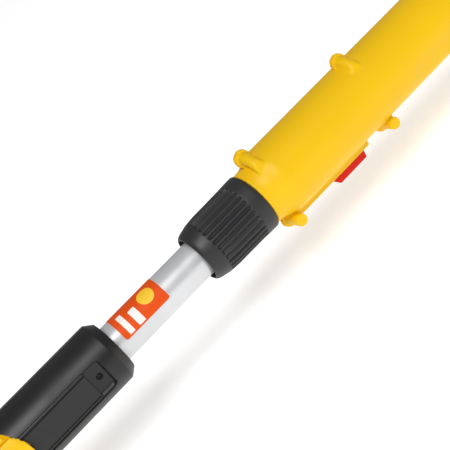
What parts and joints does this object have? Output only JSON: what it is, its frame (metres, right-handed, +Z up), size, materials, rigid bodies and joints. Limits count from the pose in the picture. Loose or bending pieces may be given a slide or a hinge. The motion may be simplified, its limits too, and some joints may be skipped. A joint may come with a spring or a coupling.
{
  "type": "telescoping pole saw",
  "caption": "Electric chain pruning saw on a telescoping tube with a twist collar, length button, foam grip, strap ring and closed rear handle.",
  "frame": {"origin": "centre of the bounding box's bottom, on the surface that the saw lies on", "axes": "+X along the pole from the saw to the rear handle, +Z up, +Y toward the sprocket cover"},
  "size_m": [1.7094, 0.114, 0.106],
  "materials": {
    "yellow_plastic": "satin moulded, fine texture",
    "black_plastic": "matte moulded, fine texture",
    "red_plastic": "glossy moulded",
    "label_print": "printed film",
    "alloy_tube": "satin anodised",
    "steel": "zinc plated and ground",
    "dark_steel": "blackened",
    "grey_plastic": "unfilled nylon",
    "rubber_black": "matte soft PVC",
    "foam": "closed-cell foam"
  },
  "bodies": {
    "handle_pole": {"outer_tube": "alloy_tube", "guide_bush": "grey_plastic", "collet_sleeve": "black_plastic", "clamp_housing_near": "yellow_plastic", "clamp_housing_far": "yellow_plastic", "housing_screw_1": "steel", "housing_screw_2": "steel", "housing_screw_3": "steel", "housing_screw_4": "steel", "housing_screw_5": "steel", "housing_screw_6": "steel", "housing_screw_7": "steel", "housing_screw_8": "steel", "button_spring": "steel", "foam_grip": "foam", "strap_clamp": "black_plastic", "strap_screw": "steel", "handle_shell_near": "yellow_plastic", "handle_shell_far": "yellow_plastic", "handle_screw_1": "steel", "handle_screw_2": "steel", "handle_screw_3": "steel", "handle_screw_4": "steel", "switch_block": "grey_plastic", "trigger_pin": "steel", "trigger_spring": "steel", "cord_inlet": "rubber_black", "coiled_lead": "rubber_black"},
    "collar": {"twist_collar": "black_plastic"},
    "length_button": {"length_button": "red_plastic"},
    "strap_ring": {"strap_ring": "steel"},
    "trigger": {"trigger": "black_plastic"},
    "lock_off_button": {"lock_off_button": "black_plastic"},
    "saw_head": {"pole_tube": "alloy_tube", "tube_end_plug": "black_plastic", "tube_label": "label_print", "neck_shell_near": "black_plastic", "neck_shell_far": "black_plastic", "neck_screw_1": "dark_steel", "neck_screw_2": "dark_steel", "head_shell_near": "yellow_plastic", "head_shell_far": "yellow_plastic", "head_screw_1": "steel", "head_screw_2": "steel", "head_screw_3": "steel", "motor_can": "dark_steel", "gear_plate": "steel", "bearing_inner": "steel", "bearing_outer": "steel", "guide_bar": "steel", "saw_chain": "dark_steel", "sprocket_cover": "black_plastic", "bar_stud": "steel", "oil_tank": "grey_plastic", "head_lead": "rubber_black"},
    "rotor": {"rotor_shaft": "steel"},
    "sprocket_drive": {"drive_gear": "grey_plastic", "sprocket": "steel"},
    "oil_cap": {"oil_cap": "black_plastic"},
    "cover_knob": {"cover_knob": "red_plastic"}
  },
  "joints": [
    {"name": "pole_slide", "type": "slide", "parent": "handle_pole", "child": "saw_head", "axis": [-1, 0, 0], "range_m": [-0.068, 0.45]},
    {"name": "collar_twist", "type": "hinge", "parent": "handle_pole", "child": "collar", "pos_m": [-0.2543, -0.01, 0.072], "axis": [1, 0, 0], "range_deg": [0, 90]},
    {"name": "length_button_press", "type": "slide", "parent": "handle_pole", "child": "length_button", "axis": [0, 0, 1], "range_m": [0, 0.003], "stiffness_N_per_m": 500, "springref_m": -0.003, "deforming": ["button_spring"]},
    {"name": "strap_ring_swing", "type": "hinge", "parent": "handle_pole", "child": "strap_ring", "pos_m": [0.1557, -0.01, 0.043], "axis": [1, 0, 0], "range_deg": [-100, 100]},
    {"name": "trigger_pull", "type": "hinge", "parent": "handle_pole", "child": "trigger", "pos_m": [0.6967, -0.01, 0.069], "axis": [0, -1, 0], "range_deg": [0, 9], "stiffness_Nm_per_rad": 0.6, "springref_deg": -11.46, "deforming": ["trigger_spring"]},
    {"name": "lock_off_press", "type": "slide", "parent": "handle_pole", "child": "lock_off_button", "axis": [0, 1, 0], "range_m": [0, 0.004], "stiffness_N_per_m": 300, "springref_m": -0.003},
    {"name": "sprocket_spin", "type": "hinge", "parent": "saw_head", "child": "sprocket_drive", "pos_m": [-0.5463, 0.008, 0.064], "axis": [0, 1, 0], "continuous": true},
    {"name": "rotor_spin", "type": "hinge", "parent": "saw_head", "child": "rotor", "pos_m": [-0.5163, -0.01, 0.064], "axis": [0, 1, 0], "continuous": true},
    {"name": "oil_cap_turn", "type": "hinge", "parent": "saw_head", "child": "oil_cap", "pos_m": [-0.6063, -0.052, 0.026], "axis": [0, -1, 0], "range_deg": [0, 120]},
    {"name": "cover_knob_turn", "type": "hinge", "parent": "saw_head", "child": "cover_knob", "pos_m": [-0.6063, 0.048, 0.064], "axis": [0, 1, 0], "range_deg": [0, 180]}
  ],
  "couplings": [
    {"joint": "rotor_spin", "follows": "sprocket_spin", "ratio": -3}
  ]
}
